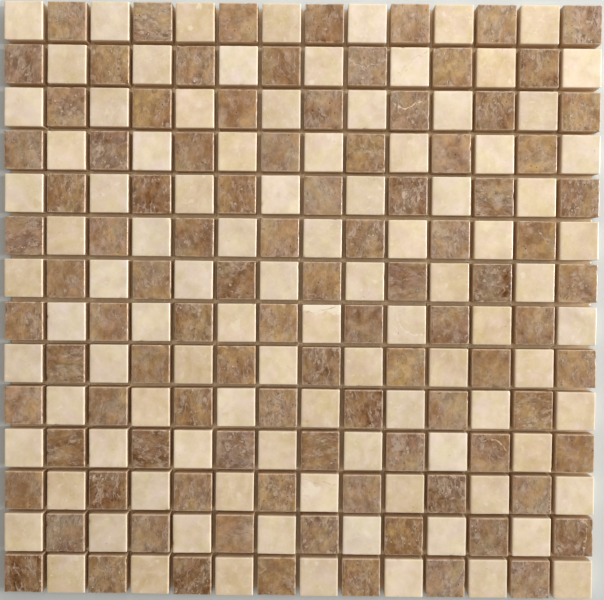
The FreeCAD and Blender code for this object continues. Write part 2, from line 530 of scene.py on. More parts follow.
def finish_stone(tree, shader, colour, dust, on_tile, zones, hollow, polish, fine):
    """Joins a stone's colour to its shader.

    It is polished on the face, dull and dusty at the sawn sides, and darkened low in the joints: partly a stain,
    partly painted shade.
    """
    sawn = zones["Sawn"]
    colour = blend(tree, calc(tree, "MULTIPLY", sawn, 0.5), colour, rgba(dust))
    # Painted shade with some stain: the sides low in the joints are darkened towards brown
    colour = blend(tree, calc(tree, "MULTIPLY", zones["Low"], 0.45), colour, rgba(JOINT_STAIN_AND_SHADE))
    tree.links.new(colour, shader.inputs["Base Color"])
    smooth = calc(tree, "ADD", polish, calc(tree, "MULTIPLY", fine, 0.10))
    smooth = calc(tree, "SUBTRACT", smooth, calc(tree, "MULTIPLY", zones["Rim"], 0.13))
    dull = calc(tree, "MAXIMUM", sawn, hollow)
    roughness = add(tree, "ShaderNodeMapRange", {"Value": dull, "To Min": smooth, "To Max": 0.82})
    tree.links.new(roughness.outputs[0], shader.inputs["Roughness"])
    saw = use_group(tree, "Saw marks", {"On tile": on_tile})["Height"]
    grain = calc(tree, "ADD", calc(tree, "MULTIPLY", saw, sawn), calc(tree, "MULTIPLY", fine, 0.06))
    bump = add(tree, "ShaderNodeBump", {"Strength": 0.5, "Distance": 0.12 * MM, "Height": grain})
    tree.links.new(bump.outputs[0], shader.inputs["Normal"])


def cream_stone():
    """Cream limestone: soft pale and honey clouds, faint bedding streaks, a fine vein now and then."""
    look = bpy.context.scene.mosaic.cream
    material, tree, shader = new_material("cream_stone", 0.3)
    place = attribute(tree, "stone")
    on_tile = attribute(tree, "on_tile")
    hollow = number_attribute(tree, "hollow")
    tone = add(tree, "ShaderNodeSeparateXYZ", {0: attribute(tree, "tone")}).outputs
    zones = use_group(tree, "Tile zones", {"On tile": on_tile})

    warped = use_group(tree, "Bedding", {"Place": place, "Stretch": 1.2, "Warp": 3.5})["Place"]
    bedded = use_group(tree, "Bedding", {"Place": place, "Stretch": 5.0, "Warp": 1.6})["Place"]
    moved = vector_calc(tree, "ADD", warped, (61.0, 23.0, 17.0))
    broad = use_group(tree, "Clouds", {"Place": warped, "Size": 15.0, "Contrast": 3.0, "Detail": 2.0})["Value"]
    clouds = use_group(tree, "Clouds", {"Place": warped, "Size": 5.5, "Contrast": 2.8})["Value"]
    drift = use_group(tree, "Clouds", {"Place": moved, "Size": 8.0, "Contrast": 2.8, "Detail": 3.0})["Value"]
    small = use_group(tree, "Clouds", {"Place": moved, "Size": 2.4, "Contrast": 2.8, "Detail": 3.0})["Value"]
    streaks = use_group(tree, "Clouds", {"Place": bedded, "Size": 1.5, "Contrast": 2.6, "Detail": 3.0})["Value"]
    fine = use_group(tree, "Clouds", {"Place": warped, "Size": 0.9, "Contrast": 2.4, "Roughness": 0.75})["Value"]

    streaked = calc(tree, "MULTIPLY_ADD", tone[2], 0.24, 0.03)
    lightness = sway(tree, tone[0], (broad, 0.70), (clouds, 0.78), (small, 0.10), (streaks, streaked))
    greenness = sway(tree, 0.5, (clouds, -0.7), (drift, 1.1))
    colour = stone_colour(tree, look, lightness, sway(tree, tone[1], (drift, 1.1)), greenness)
    smudges = use_group(tree, "Specks", {"Place": moved, "Cell": 5.0, "Radius": 0.30, "Share": 0.28})["Mask"]
    colour = blend(tree, calc(tree, "MULTIPLY", smudges, 0.30), colour, rgba(look.smudge))
    wisps = use_group(tree, "Threads", {"Place": warped, "Size": 5.0, "Width": 0.035, "Share": 0.42})["Mask"]
    colour = blend(tree, calc(tree, "MULTIPLY", wisps, 0.36), colour, rgba(look.pale))
    threads = use_group(tree, "Threads", {"Place": warped, "Size": 11.0, "Width": 0.010, "Share": 0.30})["Mask"]
    colour = blend(tree, calc(tree, "MULTIPLY", threads, 0.20), colour, rgba(look.vein))
    blotch = use_group(tree, "Specks", {"Place": warped, "Cell": 4.0, "Radius": 0.30, "Share": 0.24})["Mask"]
    colour = blend(tree, calc(tree, "MULTIPLY", blotch, 0.50), colour, rgba(look.pale))
    dots = use_group(tree, "Specks", {"Place": warped, "Cell": 3.4, "Radius": 0.08, "Share": 0.14})["Mask"]
    colour = blend(tree, calc(tree, "MULTIPLY", dots, 0.30), colour, rgba(look.vein))
    colour = draw_marks(tree, colour, on_tile, look.pale, look.pale, look.vein)
    # Darkens pit floors and chips: partly the pits' dark filling, partly painted shade in these hollows
    colour = blend(tree, calc(tree, "MULTIPLY", hollow, 0.55), colour, rgba(look.vein))
    # Pale rim just inside the face's edges: partly wear, partly a painted highlight on the eased edges
    colour = blend(tree, calc(tree, "MULTIPLY", zones["Rim"], 0.60), colour, rgba(look.pale))
    finish_stone(tree, shader, colour, look.pale, on_tile, zones, hollow, 0.25, fine)
    return material


def brown_stone():
    """Walnut-brown travertine: rose, golden and grey zones, pale wisps and flecks, dark pits, and a pale rim that is
    partly wear and partly a painted highlight.
    """
    look = bpy.context.scene.mosaic.brown
    material, tree, shader = new_material("brown_stone", 0.3)
    place = attribute(tree, "stone")
    on_tile = attribute(tree, "on_tile")
    hollow = number_attribute(tree, "hollow")
    tone = add(tree, "ShaderNodeSeparateXYZ", {0: attribute(tree, "tone")}).outputs
    zones = use_group(tree, "Tile zones", {"On tile": on_tile})

    warped = use_group(tree, "Bedding", {"Place": place, "Stretch": 1.3, "Warp": 4.5})["Place"]
    bedded = use_group(tree, "Bedding", {"Place": place, "Stretch": 2.2, "Warp": 3.5})["Place"]
    moved = vector_calc(tree, "ADD", warped, (61.0, 23.0, 17.0))
    broad = use_group(tree, "Clouds", {"Place": warped, "Size": 14.0, "Contrast": 3.2, "Detail": 2.0})["Value"]
    drift = use_group(tree, "Clouds", {"Place": moved, "Size": 7.0, "Contrast": 3.4, "Detail": 3.0})["Value"]
    clouds = use_group(tree, "Clouds", {"Place": warped, "Size": 4.5, "Contrast": 3.2})["Value"]
    small = use_group(tree, "Clouds", {"Place": moved, "Size": 1.8, "Contrast": 3.0, "Detail": 3.0})["Value"]
    streaks = use_group(tree, "Clouds", {"Place": bedded, "Size": 1.6, "Contrast": 3.0, "Detail": 3.0})["Value"]
    fine = use_group(tree, "Clouds", {"Place": warped, "Size": 0.7, "Contrast": 2.8, "Roughness": 0.75})["Value"]

    mottled = calc(tree, "MULTIPLY_ADD", tone[2], 0.45, 0.24)
    streaked = calc(tree, "MULTIPLY_ADD", tone[2], 0.22, 0.16)
    lightness = sway(
        tree, tone[0], (broad, 0.92), (clouds, 0.95), (small, mottled), (streaks, streaked), (fine, 0.14))
    warmth = sway(tree, tone[1], (drift, 1.5))
    greenness = sway(tree, 0.5, (clouds, -1.0), (broad, 1.6))
    colour = stone_colour(tree, look, lightness, warmth, greenness)
    rusty = calc(tree, "MULTIPLY", ease(tree, warmth, 0.85, 1.3), ease(tree, clouds, 0.75, 0.25))
    colour = blend(tree, calc(tree, "MULTIPLY", rusty, 0.30), colour, rgba(look.rust))

    busy = calc(tree, "MULTIPLY_ADD", tone[2], 0.60, 0.40)
    crowded = calc(tree, "MULTIPLY", ease(tree, drift, 0.75, 0.35, 0.25, 1.0), busy)
    for cell, radius, share, strength, grain in (
            (2.4, 0.38, 0.50, 0.90, look.dark), (5.2, 0.40, 0.50, 0.60, look.clast),
            (2.6, 0.38, 0.55, 1.00, look.clast), (1.2, 0.30, 0.20, 1.10, look.pale)):
        grains = use_group(tree, "Specks", {
            "Place": vector_calc(tree, "ADD", moved, (cell, 9.0, 0.0)), "Cell": cell, "Radius": radius,
            "Share": share})
        gap = calc(tree, "MULTIPLY", grains["Gap"], crowded)
        colour = blend(tree, calc(tree, "MULTIPLY", gap, 0.45), colour, rgba(look.dark))
        grains = calc(tree, "MULTIPLY", grains["Mask"], crowded)
        colour = blend(tree, calc(tree, "MULTIPLY", grains, strength), colour, rgba(grain))
    for size, width, strength, grain in ((3.2, 0.032, 0.65, look.dark), (4.4, 0.045, 0.65, look.clast)):
        curls = use_group(tree, "Threads", {"Place": bedded, "Size": size, "Width": width, "Share": 0.60})["Mask"]
        curls = calc(tree, "MULTIPLY", curls, crowded)
        colour = blend(tree, calc(tree, "MULTIPLY", curls, strength), colour, rgba(grain))
    spots = use_group(tree, "Specks", {"Place": moved, "Cell": 1.9, "Radius": 0.20, "Share": 0.45})["Mask"]
    near_edge = calc(tree, "MULTIPLY_ADD", zones["Border"], 0.9, 0.7)
    colour = blend(tree, calc(tree, "MULTIPLY", spots, near_edge), colour, rgba(look.dark))
    colour = draw_marks(tree, colour, on_tile, look.pale, look.haze, look.rust)
    # Darkens pit floors and chips: partly the pits' dark filling, partly painted shade in these hollows
    colour = blend(tree, calc(tree, "MULTIPLY", hollow, 0.75), colour, rgba(look.pit_fill_and_shade))
    # Patchy pale rim just inside the face's edges: partly wear, partly a painted highlight on the eased edges
    wear_and_highlight = calc(tree, "MULTIPLY", zones["Rim"], ease(tree, small, 0.15, 0.75, 0.40, 0.85))
    colour = blend(tree, wear_and_highlight, colour, rgba(look.pale))
    finish_stone(tree, shader, colour, look.pale, on_tile, zones, hollow, 0.26, fine)
    return material


def net_fibre():
    """Sized glass-fibre yarn: off-white, with the twist of its filaments."""
    look = bpy.context.scene.mosaic.net
    material, tree, shader = new_material("net_fibre", 0.55)
    place = add(tree, "ShaderNodeTexCoord").outputs["Object"]
    stained = use_group(tree, "Clouds", {"Place": scaled(tree, place, 1 / MM), "Size": 9.0, "Contrast": 2.0})["Value"]
    share = calc(tree, "MULTIPLY", stained, 0.30)
    colour = blend(tree, share, rgba(look.yarn_colour), rgba(look.glue_colour))
    tree.links.new(colour, shader.inputs["Base Color"])
    twist = add(
        tree, "ShaderNodeTexWave", {"Vector": scaled(tree, place, 1 / MM), "Scale": 1.6, "Distortion": 1.0},
        wave_type="BANDS", bands_direction="DIAGONAL")
    bump = add(tree, "ShaderNodeBump", {"Strength": 0.6, "Distance": 0.05 * MM, "Height": twist.outputs[1]})
    tree.links.new(bump.outputs[0], shader.inputs["Normal"])
    return material


def dried_adhesive():
    """Yellowish white adhesive, dried to a skin."""
    look = bpy.context.scene.mosaic.net
    material, tree, shader = new_material("dried_adhesive", 0.38)
    place = scaled(tree, add(tree, "ShaderNodeTexCoord").outputs["Object"], 1 / MM)
    thin = use_group(tree, "Clouds", {"Place": place, "Size": 3.0, "Contrast": 2.2})["Value"]
    colour = blend(tree, thin, rgba(look.glue_colour), rgba((0.79, 0.62, 0.41)))
    tree.links.new(colour, shader.inputs["Base Color"])
    bump = add(tree, "ShaderNodeBump", {"Strength": 0.7, "Distance": 0.1 * MM, "Height": thin})
    tree.links.new(bump.outputs[0], shader.inputs["Normal"])
    return material


def pale_floor():
    """Plain pale floor with the faintest unevenness."""
    look = bpy.context.scene.mosaic.stage
    material, tree, shader = new_material("pale_floor", 0.7)
    place = add(tree, "ShaderNodeTexCoord").outputs["Object"]
    uneven = add(tree, "ShaderNodeTexNoise", {"Vector": place, "Scale": 9.0, "Detail": 3.0}).outputs[0]
    darker = rgba(tuple(channel * 0.96 for channel in look.floor_colour))
    tree.links.new(blend(tree, uneven, rgba(look.floor_colour), darker), shader.inputs["Base Color"])
    return material


# Shapes


def new_piece(name, shape, material, node_names):
    """A piece of the sheet from a bmesh that is already in place. It rides on the sheet's only body."""
    mesh = bpy.data.meshes.new(name)
    shape.to_mesh(mesh)
    shape.free()
    mesh.materials.append(material)
    piece = bpy.data.objects.new(name, mesh)
    bpy.context.scene.collection.objects.link(piece)
    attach(piece, "root")
    if node_names:
        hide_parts(*node_names)
    return piece


def tile_places(node_name):
    """Column, centre and turn of each tile in a CAD node, read from the faces of its own mesh."""
    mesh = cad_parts[node_name].data
    faces = sorted(mesh.polygons, key=lambda face: face.center.x)
    split = (CAD_HIGH.x - CAD_LOW.x) / TILES_PER_SIDE / 2
    tiles = [[faces[0]]]
    for before, face in zip(faces, faces[1:]):
        if face.center.x - before.center.x > split:
            tiles.append([])
        tiles[-1].append(face)
    places = []
    for tile in tiles:
        corners = [mesh.vertices[index].co for face in tile for index in face.vertices]
        middle_x = (min(c.x for c in corners) + max(c.x for c in corners)) / 2
        middle_y = (min(c.y for c in corners) + max(c.y for c in corners)) / 2
        right = sum((f.normal * f.area for f in tile if f.normal.x > 0.99), Vector())
        column = 1 + int((middle_x - CAD_LOW.x) / (2 * split))
        places.append((column, Vector((middle_x, middle_y, TILE_BOTTOM)), math.atan2(right.y, right.x)))
    return places


def sawn_block(shape, thickness):
    """A bmesh of one tile on its own axis, underside at zero: face in cells, edges eased."""
    tile = bmesh.new()
    half = shape.side / 2
    bmesh.ops.create_grid(tile, x_segments=shape.cells, y_segments=shape.cells, size=half)
    underside = tile.faces[:]
    raised = bmesh.ops.extrude_face_region(tile, geom=underside)["geom"]
    top_points = [item for item in raised if isinstance(item, bmesh.types.BMVert)]
    bmesh.ops.translate(tile, verts=top_points, vec=(0, 0, thickness))
    bmesh.ops.recalc_face_normals(tile, faces=tile.faces[:])
    bmesh.ops.dissolve_faces(tile, faces=[face for face in tile.faces if face.normal.z < -0.5])
    upright = [edge for edge in tile.edges if abs(edge.verts[0].co.z - edge.verts[1].co.z) > half / 2]
    bmesh.ops.subdivide_edges(tile, edges=upright, cuts=2, use_grid_fill=True)
    corners = [
        edge for edge in tile.edges
        if all(min(abs(v.co.x), abs(v.co.y)) > half * 0.999 for v in edge.verts)]
    bmesh.ops.bevel(
        tile, geom=corners, offset=shape.corner_radius, offset_type="OFFSET", segments=2, profile=0.5,
        affect="EDGES", material=-1)
    rim = [
        edge for edge in tile.edges
        if edge.verts[0].co.z > thickness * 0.999 and edge.verts[1].co.z > thickness * 0.999
        and sum(face.normal.z > 0.5 for face in edge.link_faces) == 1]
    bmesh.ops.bevel(
        tile, geom=rim, offset=shape.face_edge_radius, offset_type="OFFSET", segments=3, profile=0.5,
        affect="EDGES", material=-1)
    return tile


def wear_edges(tile, shape, thickness, hand):
    """Lets the eased edges wander a little, and the face wave as polishing leaves it."""
    half = shape.side / 2
    seed = Vector([hand.uniform(-50, 50) for _ in range(3)])
    band = 1.6 * shape.face_edge_radius
    for point in tile.verts:
        if point.co.z < thickness - band:
            continue
        inside = half - max(abs(point.co.x), abs(point.co.y))
        if inside < band:
            push = shape.edge_wander * (0.5 + noise.noise(point.co / (1.7 * MM) + seed))
            inward = Vector((-point.co.x, -point.co.y, -half * 0.6)).normalized()
            point.co += inward * max(0.0, push)
        else:
            wave = noise.noise(point.co / (6.0 * MM) + seed)
            point.co.z -= shape.face_sag * max(0.0, 0.5 + wave)


def chip_edge(tile, shape, thickness, reach, hollow, hand):
    """Knocks one small shell-shaped chip out of the edge round the face."""
    half = shape.side / 2
    along = hand.uniform(-half, half)
    turn = Matrix.Rotation(math.radians(hand.choice((0, 90, 180, 270))), 3, "Z")
    middle = turn @ Vector((half - shape.face_edge_radius * 0.3, along, thickness - shape.face_edge_radius * 0.3))
    inward = turn @ Vector((-0.7, 0, -0.7))
    for point in tile.verts:
        near = 1 - (point.co - middle).length / reach
        if near > 0:
            point.co += inward * (reach * 0.45 * near ** 0.6)
            # The chip is marked hollow, and the stone colours darken it as painted shade
            point[hollow] = max(point[hollow], 0.35 * near)


def break_corner(tile, shape, thickness, reach, hand):
    """Breaks off one corner of the face along a slanting plane and closes the break."""
    half = shape.side / 2
    side_x, side_y = hand.choice((-1, 1)), hand.choice((-1, 1))
    corner = Vector((side_x * half, side_y * half, thickness))
    away = Vector((side_x * hand.uniform(0.6, 1), side_y * hand.uniform(0.6, 1), hand.uniform(0.5, 1.1)))
    away.normalize()
    cut = bmesh.ops.bisect_plane(
        tile, geom=tile.verts[:] + tile.edges[:] + tile.faces[:], plane_co=corner - away * reach, plane_no=away,
        clear_outer=True)["geom_cut"]
    loose = [item for item in cut if isinstance(item, bmesh.types.BMEdge)]
    bmesh.ops.edgeloop_fill(tile, edges=loose)


def sink_pits(tile, thickness, count, radius, hollow, hand):
    """Opens small ragged pits in cells of the face."""
    cells = [
        face for face in tile.faces
        if face.normal.z > 0.98 and len(face.verts) == 4 and face.calc_center_median().z > thickness * 0.98]
    for face in hand.sample(cells, min(count, len(cells))):
        middle = face.calc_center_median()
        wide = radius * hand.uniform(0.35, 1.0)
        turn = hand.uniform(0, math.pi)
        flat = hand.uniform(0.55, 1.0)
        room = math.sqrt(face.calc_area()) / 2
        bmesh.ops.inset_individual(tile, faces=[face], thickness=room * 0.25, use_even_offset=True)
        for edge in face.edges[:]:
            bmesh.utils.edge_split(edge, edge.verts[0], 0.5)
        start = math.atan2(face.verts[0].co.y - middle.y, face.verts[0].co.x - middle.x)
        for number, point in enumerate(face.verts):
            angle = start + number * math.tau / len(face.verts)
            out = wide * hand.uniform(0.75, 1.1)
            arm = Vector((math.cos(angle - turn) * out, math.sin(angle - turn) * out * flat, 0))
            point.co = middle + Matrix.Rotation(turn, 3, "Z") @ arm
        floor = bmesh.ops.extrude_discrete_faces(tile, faces=[face])["faces"][0]
        deep = wide * hand.uniform(0.7, 1.3)
        for point in floor.verts:
            point.co = middle + (point.co - middle) * hand.uniform(0.5, 0.75)
            point.co.z -= deep
            # The pit floor is marked hollow, and the stone colours darken it: dark filling and painted shade
            point[hollow] = 1.0


def block_turn(hand, along_bedding):
    """How the tile lay in the block it was sawn from: bedding flat in its face, or on edge along its columns."""
    if hand.random() < along_bedding:
        about_face, lean = hand.choice((90,) * 7 + (0,)) + hand.gauss(0, 9), 90 + hand.gauss(0, 10)
    else:
        about_face, lean = hand.uniform(0, 360), hand.gauss(0, 14)
    turned = Matrix.Rotation(math.radians(about_face), 3, "Z")
    return Matrix.Rotation(math.radians(lean), 3, "X") @ turned


# Tiles that the eye picks out, by row and column from the far left corner.
# tone is lightness, warmth and mottling from 0 to 1. vein and patch are the middle of an arc or a disc,
# in millimetres right of and above the tile's own, its radius, and its strength, dark if negative.
NOTABLE_TILES = {
    (1, 4): {"tone": (0.50, 0.15, 0.8)},
    (1, 5): {"tone": (-0.10, 0.50, 0.5)},
    (1, 12): {"tone": (0.65, 0.80, 0.5)},
    (1, 13): {"tone": (0.10, 0.50, 0.4)},
    (2, 1): {"tone": (0.50, 0.05, 0.6)},
    (2, 3): {"tone": (0.45, 1.0, 0.5), "patch": (-1.5, 1.5, 4.5, -0.25)},
    (2, 5): {"tone": (0.65, 0.30, 1.0)},
    (2, 6): {"tone": (1.20, 0.10, 0.2)},
    (2, 9): {"tone": (0.60, 0.20, 0.4), "vein": (0, 15, 15, 0.55)},
    (2, 10): {"vein": (35, -35, 51, -0.30)},
    (2, 11): {"tone": (0.60, 0.92, 0.5)},
    (2, 13): {"tone": (0.15, 0.60, 0.6)},
    (3, 2): {"tone": (0.75, 0.50, 0.5)},
    (3, 4): {"tone": (0.45, 1.0, 0.6)},
    (3, 10): {"tone": (0.45, 0.12, 0.6), "vein": (-1.9, 9.4, 8.2, 1.0)},
    (3, 12): {"tone": (0.25, 0.55, 0.7)},
    (4, 3): {"tone": (0.35, 0.05, 0.7)},
    (4, 4): {"tone": (0.90, 0.40, 0.3)},
    (4, 5): {"tone": (0.45, 0.60, 0.4), "patch": (2.5, 0, 6.5, -0.45)},
    (4, 13): {"tone": (0.75, 1.0, 0.3)},
    (5, 1): {"tone": (0.80, 0.45, 0.3)},
    (5, 2): {"tone": (0.35, 0.90, 0.7)},
    (5, 4): {"tone": (0.30, 0.45, 0.9)},
    (5, 12): {"tone": (0.35, 0.30, 0.9), "patch": (2.5, -2.5, 2.6, 0.45)},
    (6, 3): {"tone": (0.95, 0.65, 0.4)},
    (6, 9): {"tone": (0.50, 0.45, 1.0), "patch": (-6.5, 4.4, 1.7, 0.5)},
    (7, 2): {"tone": (0.55, 0.40, 0.6), "patch": (2.2, 4.2, 2.4, -0.65)},
    (7, 3): {"tone": (1.00, 0.40, 0.4)},
    (7, 6): {"tone": (0.15, 0.60, 0.9)},
    (8, 1): {"tone": (0.75, 0.60, 0.6), "patch": (3, 2, 1.4, 0.5)},
    (8, 3): {"tone": (0.90, 0.50, 0.4)},
    (8, 6): {"tone": (0.50, 0.80, 0.9), "patch": (0, -1, 2.2, 0.5)},
    (8, 7): {"tone": (0.95, 0.90, 0.4)},
    (8, 8): {"vein": (-12, 56, 50, -0.55), "patch": (2, 57, 50.6, 0.95)},
    (8, 10): {"tone": (0.60, 0.35, 0.2), "vein": (8, 8, 13.5, 0.7)},
    (8, 11): {"tone": (0.40, 0.50, 0.5)},
    (8, 12): {"patch": (6.2, -1, 0.4, -0.9)},
    (9, 2): {"tone": (0.25, 0.40, 0.5)},
    (9, 3): {"tone": (0.85, 0.40, 0.3)},
    (9, 6): {"tone": (0.65, 0.90, 0.6)},
    (9, 8): {"tone": (0.20, 0.40, 0.9)},
    (9, 14): {"tone": (0.75, 0.70, 0.7)},
    (10, 9): {"tone": (0.15, 0.55, 0.9)},
    (10, 11): {"tone": (0.85, 0.45, 0.3), "vein": (-9.5, 1.5, 12.3, -0.7)},
    (11, 4): {"tone": (0.10, 0.40, 0.7)},
    (11, 6): {"tone": (0.45, -0.15, 0.9), "patch": (2, 2.5, 2.2, -0.35)},
    (11, 8): {"tone": (0.30, 0.75, 0.6)},
    (11, 10): {"tone": (0.60, 0.10, 0.9), "patch": (-4.9, 4.6, 3.7, 0.65)},
    (11, 12): {"tone": (0.65, 0.45, 0.4), "vein": (-1, -2, 9.5, 0.75)},
    (11, 13): {"tone": (0.20, 1.0, 0.5)},
    (12, 1): {"tone": (0.50, 0.70, 0.3), "patch": (-3, 2.5, 5.5, -0.5)},
    (12, 2): {"tone": (0.05, 0.80, 0.4)},
    (12, 3): {"tone": (0.05, 0.60, 1.0)},
    (12, 5): {"tone": (0.55, 0.60, 0.6), "vein": (-12, 10, 19, -0.7)},
    (12, 7): {"tone": (0.75, 0.90, 0.8)},
    (12, 8): {"vein": (7.8, 55.3, 50, -0.30), "patch": (-4.4, 2.5, 4.2, 0.8)},
    (12, 11): {"tone": (0.15, 0.0, 1.0)},
    (12, 13): {"tone": (0.75, 0.35, 0.5), "patch": (-4.5, 4, 1.8, 0.4)},
    (13, 10): {"tone": (0.10, 1.2, 0.9)},
    (13, 11): {"tone": (0.90, 0.45, 0.4)},
    (13, 12): {"tone": (0.35, 0.10, 0.6), "patch": (-6.5, 1, 1.7, 0.5)},
    (13, 14): {"tone": (0.30, 0.40, 0.7), "vein": (-30, 0, 36, 0.7)},
    (14, 1): {"tone": (-0.10, 0.50, 0.9)},
    (14, 4): {"tone": (-0.10, 0.65, 0.4)},
    (14, 5): {"tone": (0.0, 0.50, 0.8)},
    (14, 13): {"tone": (0.90, 0.05, 1.0)},
    (14, 7): {"tone": (0.40, 0.95, 0.6), "patch": (-2, 6, 2.2, -0.5)},
}
NO_MARK = (0.0, 0.0, 0.0, 0.0)


def stamp(tile, place_in_block, turn_in_block, row, column, hand):
    """Writes on every point where it lies on the tile and in the block, and what sets this tile apart."""
    notable = NOTABLE_TILES.get((row, column), {})
    chance = [hand.random() for _ in range(3)]
    vein, patch = notable.get("vein", NO_MARK), notable.get("patch", NO_MARK)
    same = {
        "tone": Vector(notable.get("tone", chance)),
        "vein": Vector(vein[:3]),
        "patch": Vector(patch[:3]),
        "mark": Vector((vein[3], patch[3], 0)),
    }
    layers = tile.verts.layers.float_vector
    written = {name: layers.new(name) for name in ("stone", "on_tile", *same)}
    for point in tile.verts:
        point[written["on_tile"]] = point.co
        point[written["stone"]] = turn_in_block @ point.co + place_in_block
        for name, value in same.items():
            point[written[name]] = value


def lay(whole, loose):
    """Adds a finished bmesh to a piece and frees it."""
    laid = bpy.data.meshes.new("laid")
    loose.to_mesh(laid)
    loose.free()
    whole.from_mesh(laid)
    bpy.data.meshes.remove(laid)


def make_tiles(node_names, material, slot, look):
    """The tiles of one stone: a piece for each row, in the place of the row's CAD node."""
    shape = bpy.context.scene.mosaic.tile
    thickness = TILE_TOP - TILE_BOTTOM
    plain = sawn_block(shape, thickness)
    for node_name in node_names:
        row = int(node_name[-2:])
        whole = bmesh.new()
        for column, centre, turn in tile_places(node_name):
            hand = random.Random(f"{shape.seed} {row} {column}")
            tile = plain.copy()
            hollow = tile.verts.layers.float.new("hollow")
            wear_edges(tile, shape, thickness, hand)
            sink_pits(tile, thickness, hand.randint(*look.pits), look.pit_radius, hollow, hand)
            for _ in range(hand.randint(0, look.chips)):
                chip_edge(tile, shape, thickness, look.chip_reach * hand.uniform(0.4, 1), hollow, hand)
            if hand.random() < look.broken_corners:
                break_corner(tile, shape, thickness, shape.corner_break * hand.uniform(0.4, 1), hand)
            place_in_block = Vector([hand.uniform(-1, 1) for _ in range(3)])
            stamp(tile, place_in_block, block_turn(hand, look.along_bedding), row, column, hand)
            place = Matrix.Translation(centre) @ Matrix.Rotation(turn, 4, "Z")
            bmesh.ops.transform(tile, matrix=place, verts=tile.verts[:])
            lay(whole, tile)
        for face in whole.faces:
            face.smooth = True
        piece = new_piece(f"{slot}_row_{row:02d}", whole, material, [node_name])
        piece.data.set_sharp_from_angle(angle=math.radians(38))
    plain.free()


def strand_sides(axis):
    """Low and high side of each of the net's strands that lie across this axis, read from its CAD nodes."""
    levels = sorted({
        round(point.co[axis], 6) for name in NET_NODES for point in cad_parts[name].data.vertices})
    return list(zip(levels[1:-1:2], levels[2:-1:2]))


def yarn(look, width, path):
    """A bmesh of one flattened yarn through these points, which run along X. Its ends are closed."""
    made = bmesh.new()
    section = Matrix.Diagonal((1, width, look.yarn_thickness, 1)) @ Matrix.Rotation(math.radians(90), 4, "Y")
    bmesh.ops.create_circle(made, cap_ends=True, radius=0.5, segments=look.yarn_sides, matrix=section)
    bmesh.ops.translate(made, verts=made.verts[:], vec=path[0])
    ring = made.edges[:]
    for before, here in zip(path, path[1:]):
        grown = bmesh.ops.extrude_edge_only(made, edges=ring)["geom"]
        points = [item for item in grown if isinstance(item, bmesh.types.BMVert)]
        bmesh.ops.translate(made, verts=points, vec=here - before)
        ring = [item for item in grown if isinstance(item, bmesh.types.BMEdge) and item.is_boundary]
    bmesh.ops.contextual_create(made, geom=ring)
    bmesh.ops.recalc_face_normals(made, faces=made.faces[:])
    for face in made.faces:
        face.smooth = len(face.verts) == 4
    return made


def woven_panel(node_name, strands, look, hand):
    """A bmesh of one panel of the net: yarns along both axes, each over one cross yarn and under the next."""
    low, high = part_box(node_name)
    middle = (low.z + high.z) / 2
    climb = (high.z - low.z - look.yarn_thickness) / 2
    whole = bmesh.new()
    for along in (0, 1):
        crossings = [sum(sides) / 2 for sides in strands[along]]
        pitch = crossings[1] - crossings[0]
        turn = Matrix.Rotation(math.radians(90 * along), 4, "Z")
        halfway = [crossing + pitch / 2 for crossing in crossings]
        inner = sorted(s for s in crossings + halfway if low[along] < s < high[along])
        for number, (side_low, side_high) in enumerate(strands[1 - along]):
            across = (side_low + side_high) / 2
            if not low[1 - along] < across < high[1 - along]:
                continue
            ends = [low[along], high[along]]
            for side, limit in enumerate((NET_LOW[along], NET_HIGH[along])):
                if abs(ends[side] - limit) < look.yarn_thickness:
                    ends[side] += hand.uniform(-look.fray, look.fray)
            path = []
            for s in [ends[0], *inner, ends[1]]:
                beat = math.pi * ((s - crossings[0]) / pitch + number + along)
                stray = look.sway * noise.noise(Vector((s / (25 * MM), 7.3 * number, 3.1 * along)))
                sign = 1 if along == 0 else -1
                path.append(Vector((s, sign * across + stray, middle + climb * math.cos(beat))))
            strand = yarn(look, side_high - side_low, path)
            bmesh.ops.transform(strand, matrix=turn, verts=strand.verts[:])
            lay(whole, strand)
    return whole


def glue_patch(look, hand):
    """A bmesh of the adhesive under one tile, its top at zero: an uneven rounded square, thin at its edge."""
    patch = bmesh.new()
    bmesh.ops.create_circle(patch, cap_ends=True, radius=look.glue_reach, segments=40)
    seed = Vector([hand.uniform(-50, 50) for _ in range(3)])
    for point in patch.verts:
        heading = point.co.normalized()
        square = (abs(heading.x) ** 20 + abs(heading.y) ** 20) ** (-1 / 20)
        point.co *= square * (1 + 0.06 * noise.noise(heading * 1.6 + seed))
    lower = bmesh.ops.extrude_face_region(patch, geom=patch.faces[:])["geom"]
    points = [item for item in lower if isinstance(item, bmesh.types.BMVert)]
    bmesh.ops.scale(patch, vec=(0.95, 0.95, 1), verts=points)
    bmesh.ops.translate(patch, verts=points, vec=(0, 0, -look.glue_thickness))
    bmesh.ops.recalc_face_normals(patch, faces=patch.faces[:])
    return patch


class MOSAIC_OT_cream_tiles(bpy.types.Operator):
    """Cut, polish and lay the cream tiles"""

    bl_idname = "mosaic.cream_tiles"
    bl_label = "Cream tiles"

    def execute(self, context):
        make_tiles(CREAM_NODES, cream_stone(), "cream_stone", context.scene.mosaic.cream)
        return {"FINISHED"}


class MOSAIC_OT_brown_tiles(bpy.types.Operator):
    """Cut, polish and lay the brown tiles"""

    bl_idname = "mosaic.brown_tiles"
    bl_label = "Brown tiles"

    def execute(self, context):
        make_tiles(BROWN_NODES, brown_stone(), "brown_stone", context.scene.mosaic.brown)
        return {"FINISHED"}


class MOSAIC_OT_backing_net(bpy.types.Operator):
    """Weave the glass-fibre net in the place of its flat CAD panels"""

    bl_idname = "mosaic.backing_net"
    bl_label = "Backing net"

    def execute(self, context):
        look = context.scene.mosaic.net
        material = net_fibre()
        strands = [strand_sides(0), strand_sides(1)]
        hand = random.Random(look.yarn_sides)
        for name in NET_NODES:
            panel = woven_panel(name, strands, look, hand)
            new_piece(name.replace("backing", "woven"), panel, material, [name])
        return {"FINISHED"}


